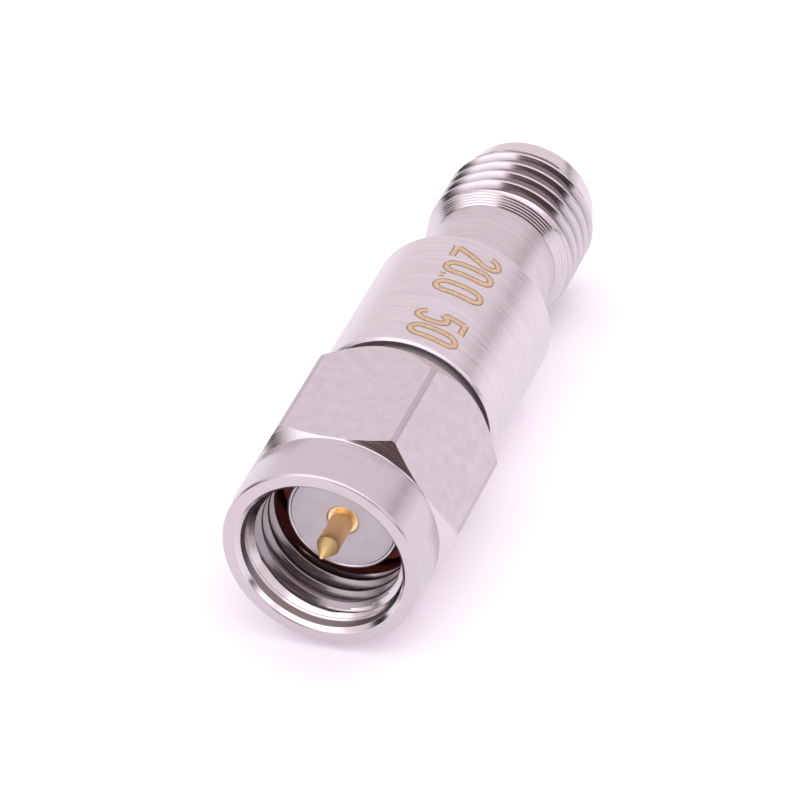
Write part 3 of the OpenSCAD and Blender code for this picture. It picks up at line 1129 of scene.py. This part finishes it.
bead("plug_bead", 0.0, BARREL_FRONT_Y, "plug_insulator")
bead("jack_bead", JACK_BEAD_Y, JACK_PLANE_Y, "jack_insulator")
gasket_bm = turned(
    [
        (GASKET_HOLE_D, GASKET_FRONT_Y, 0.06),
        (GASKET_D, GASKET_FRONT_Y, 0.12),
        (GASKET_D, GASKET_REAR_Y, 0.05),
        (GASKET_HOLE_D, GASKET_REAR_Y, 0.05),
    ]
)
make_piece("silicone_gasket", gasket_bm, [silicone], "body", "silicone", "sealing_gasket")

# %% [markdown]
# The two centre contacts are turned from rod. Each ends in a fork over the ceramic card inside the
# barrel, and the jack's end is slit into four spring fingers. The fork's prongs are cut from a short
# rod by one plane, and a finger is a section spun through less than a quarter turn.

# %% Fork of a contact
PRONG_R = 0.5
PRONG_GAP = 0.21
PRONG_SEGMENTS = 48


def fork(from_y, to_y):
    bm = bmesh.new()
    for side in (1, -1):
        rod = bmesh.new()
        bmesh.ops.create_cone(
            rod,
            cap_ends=True,
            segments=PRONG_SEGMENTS,
            radius1=PRONG_R,
            radius2=PRONG_R,
            depth=to_y - from_y,
        )
        rotate(rod, math.radians(-90), "X")
        bmesh.ops.translate(rod, vec=(0, (from_y + to_y) / 2, 0), verts=rod.verts[:])
        cut_flat(rod, (0, 0, side * PRONG_GAP), (0, 0, -side))
        join_into(bm, rod)
    return bm


print("gap of the fork in mm:", 2 * PRONG_GAP)

# %% Plug pin
PIN_R = 0.457
PIN_TIP_D = 0.12
PIN_TIP_Y = -2.43
POINT_END_Y = -1.66
STEP_Y = 0.02
STEP_FINISH_Y = 0.1
CONTACT_D = 1.27
PIN_FORK_Y = 9.34
PIN_FORK_END_Y = 10.20
pin_bm = turned(
    [
        (0.0, PIN_TIP_Y, 0),
        (PIN_TIP_D, PIN_TIP_Y, 0.02),
        (2 * PIN_R, POINT_END_Y, 0.03),
        (2 * PIN_R, STEP_Y, 0),
        (CONTACT_D, STEP_Y, 0.05),
        (CONTACT_D, BARREL_FRONT_Y, 0.02),
        (2 * PRONG_R, BARREL_FRONT_Y, 0),
        (2 * PRONG_R, PIN_FORK_Y, 0),
        (0.0, PIN_FORK_Y, 0),
    ]
)
PIN_FINISHES = [gold, gold_point_highlight, gold_step_highlight]
for face in pin_bm.faces:
    station, radius = place_of(face)
    # The cone and the step get paler gold as painted highlights
    if station < POINT_END_Y:
        face.material_index = 1
    elif station < STEP_FINISH_Y and radius > PIN_R:
        face.material_index = 2
join_into(pin_bm, fork(PIN_FORK_Y, PIN_FORK_END_Y))
make_piece("gold_pin", pin_bm, PIN_FINISHES, "body", "gold_contact", "plug_pin")

# %% Jack socket
SOCKET_HOLE_D = 0.94
SOCKET_MOUTH_Y = 21.05
FINGER_ROOT_Y = 18.65
HOLE_END_Y = 18.15
SOCKET_FORK_Y = 12.96
SOCKET_FORK_END_Y = 12.10
SLOT_DEG = 14.6
FINGER_STEPS = 24
OUTER_BREAK = 0.03
INNER_BREAK = 0.06
socket_bm = turned(
    [
        (0.0, SOCKET_FORK_Y, 0),
        (2 * PRONG_R, SOCKET_FORK_Y, 0),
        (2 * PRONG_R, JACK_BEAD_Y, 0),
        (CONTACT_D, JACK_BEAD_Y, 0.02),
        (CONTACT_D, FINGER_ROOT_Y, 0),
        (SOCKET_HOLE_D, FINGER_ROOT_Y, 0),
        (SOCKET_HOLE_D, HOLE_END_Y, 0),
        (0.0, HOLE_END_Y, 0),
    ]
)
finger_section = [
    (CONTACT_D, FINGER_ROOT_Y),
    (CONTACT_D, SOCKET_MOUTH_Y - OUTER_BREAK),
    (CONTACT_D - 2 * OUTER_BREAK, SOCKET_MOUTH_Y),
    (SOCKET_HOLE_D + 2 * INNER_BREAK, SOCKET_MOUTH_Y),
    (SOCKET_HOLE_D, SOCKET_MOUTH_Y - INNER_BREAK),
    (SOCKET_HOLE_D, FINGER_ROOT_Y),
]
for turn in range(4):
    finger = bmesh.new()
    finger.faces.new([finger.verts.new((d / 2, y, 0)) for d, y in finger_section])
    rotate(finger, math.radians(90 * turn + SLOT_DEG / 2), "Y")
    bmesh.ops.spin(
        finger,
        geom=everything(finger),
        cent=(0, 0, 0),
        axis=(0, 1, 0),
        angle=math.radians(90 - SLOT_DEG),
        steps=FINGER_STEPS,
    )
    bmesh.ops.recalc_face_normals(finger, faces=finger.faces[:])
    join_into(socket_bm, finger)
join_into(socket_bm, fork(SOCKET_FORK_END_Y, SOCKET_FORK_Y))
make_piece("gold_socket", socket_bm, [gold], "body", "gold_contact", "jack_socket")

# %% [markdown]
# ## Marking
# Such parts carry their rating as a laser mark: the beam heats the steel until it turns tan, with a
# darker rim along each stroke. Two plain numbers stand here, in the same finish. Each stroke is a flat
# ribbon along a line of points: a wide one for the rim, and a narrower one on it for the tan core. The
# ribbons are wrapped round the barrel, a few thousandths of a millimetre above the steel. A text object
# could be wrapped as well, but its strokes would have neither the even width nor the rim.

# %% Laser-marked steel
# Matte tan, with a brown line round it
mark_core = moulded("steel, annealed tan by a laser", "#C3A584", "#D6BD9F", 0.1, 0.03, 0.002, 0.45)
mark_rim = moulded("steel, rim of the laser mark", "#86694C", "#A08364", 0.1, 0.03, 0.002, 0.45)
print("marks:", mark_core.name, "|", mark_rim.name)

# %% Strokes of the digits
STROKE = 0.30
RIM = 0.055
POINT_GAP = 0.06
DIGIT_W = 0.90
DIGIT_H = 2.20
HALF_W = (DIGIT_W - STROKE) / 2
HALF_H = (DIGIT_H - STROKE) / 2
BOW = 0.42
OVERRUN = 0.1
STEM_END = 0.08
BOWL_Y = -0.36
BOWL = 0.62
DOT_TOP = 0.14
ARC_STEPS = 20


def arc(centre_y, height, start_deg, end_deg):
    shares = [step / ARC_STEPS for step in range(ARC_STEPS + 1)]
    turns = [math.radians(start_deg + (end_deg - start_deg) * share) for share in shares]
    return [(HALF_W * math.cos(turn), centre_y + height * math.sin(turn)) for turn in turns]


def filled(points):
    fine = [points[0]]
    for (x0, y0), (x1, y1) in zip(points, points[1:]):
        count = max(1, round(math.hypot(x1 - x0, y1 - y0) / POINT_GAP))
        shares = [step / count for step in range(1, count + 1)]
        fine += [(x0 + (x1 - x0) * share, y0 + (y1 - y0) * share) for share in shares]
    return fine


top = arc(HALF_H - BOW, BOW, 180, 0)
bottom = arc(BOW - HALF_H, BOW, 0, -180)
DIGITS = {
    "0": [top + bottom + top[:2]],
    "2": [
        arc(HALF_H - BOW, BOW, 180, -30) + [(-HALF_W, OVERRUN - HALF_H)],
        [(-HALF_W - OVERRUN, -HALF_H), (HALF_W, -HALF_H)],
    ],
    "5": [
        [(HALF_W, HALF_H), (-HALF_W - OVERRUN, HALF_H)],
        [(-HALF_W, HALF_H), (-HALF_W, STEM_END)],
        arc(BOWL_Y, BOWL, 150, -150),
    ],
    ".": [[(0, -HALF_H - OVERRUN), (0, DOT_TOP - HALF_H)]],
}
print("digits drawn:", sorted(DIGITS))

# %% Ribbons and wrapping
MARK_R = 3.754
MARK_DEPTH = 0.012
RIM_DROP = 0.002
MARK_PHI_DEG = 19


def ribbon(bm, points, middle_y, half_width, radius, finish):
    rows = []
    for index, (across, up) in enumerate(points):
        before, after = points[max(index - 1, 0)], points[min(index + 1, len(points) - 1)]
        along = Vector((after[0] - before[0], after[1] - before[1]))
        along.normalize()
        row = []
        for side in (-half_width, half_width):
            phi = math.radians(MARK_PHI_DEG) + (up + along.x * side) / MARK_R
            station = middle_y - (across - along.y * side)
            row.append(bm.verts.new((radius * math.sin(phi), station, radius * math.cos(phi))))
        rows.append(row)
    for row, next_row in zip(rows, rows[1:]):
        bm.faces.new((row[0], next_row[0], next_row[1], row[1])).material_index = finish


# Each digit with the station of its middle
MARKS = [("2", 13.3), ("0", 12.3), (".", 11.65), ("0", 11.0), ("5", 8.9), ("0", 7.9)]
mark_bm = bmesh.new()
for digit, middle_y in MARKS:
    for stroke in DIGITS[digit]:
        ribbon(mark_bm, filled(stroke), middle_y, STROKE / 2, MARK_R - RIM_DROP, 1)
        ribbon(mark_bm, filled(stroke), middle_y, STROKE / 2 - RIM, MARK_R, 0)
bmesh.ops.recalc_face_normals(mark_bm, faces=mark_bm.faces[:])
bmesh.ops.solidify(mark_bm, geom=mark_bm.faces[:], thickness=MARK_DEPTH)
make_piece("laser_marked_numbers", mark_bm, [mark_core, mark_rim], "body", "steel_body")

# %% [markdown]
# ## Pieces inside
# The retaining ring, the ceramic card and the two halves of its sleeve are hidden. They keep their
# solids and get their own finishes.

# %% Finishes of the hidden solids
INSIDE = {
    "retaining_ring": spring_bronze,
    "attenuator_card": alumina,
    "ground_sleeve_upper": plated_brass,
    "ground_sleeve_lower": plated_brass,
}
for node, material in INSIDE.items():
    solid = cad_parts[node]
    solid.data.materials.clear()
    solid.data.materials.append(material)
print("hidden solids finished:", len(INSIDE))
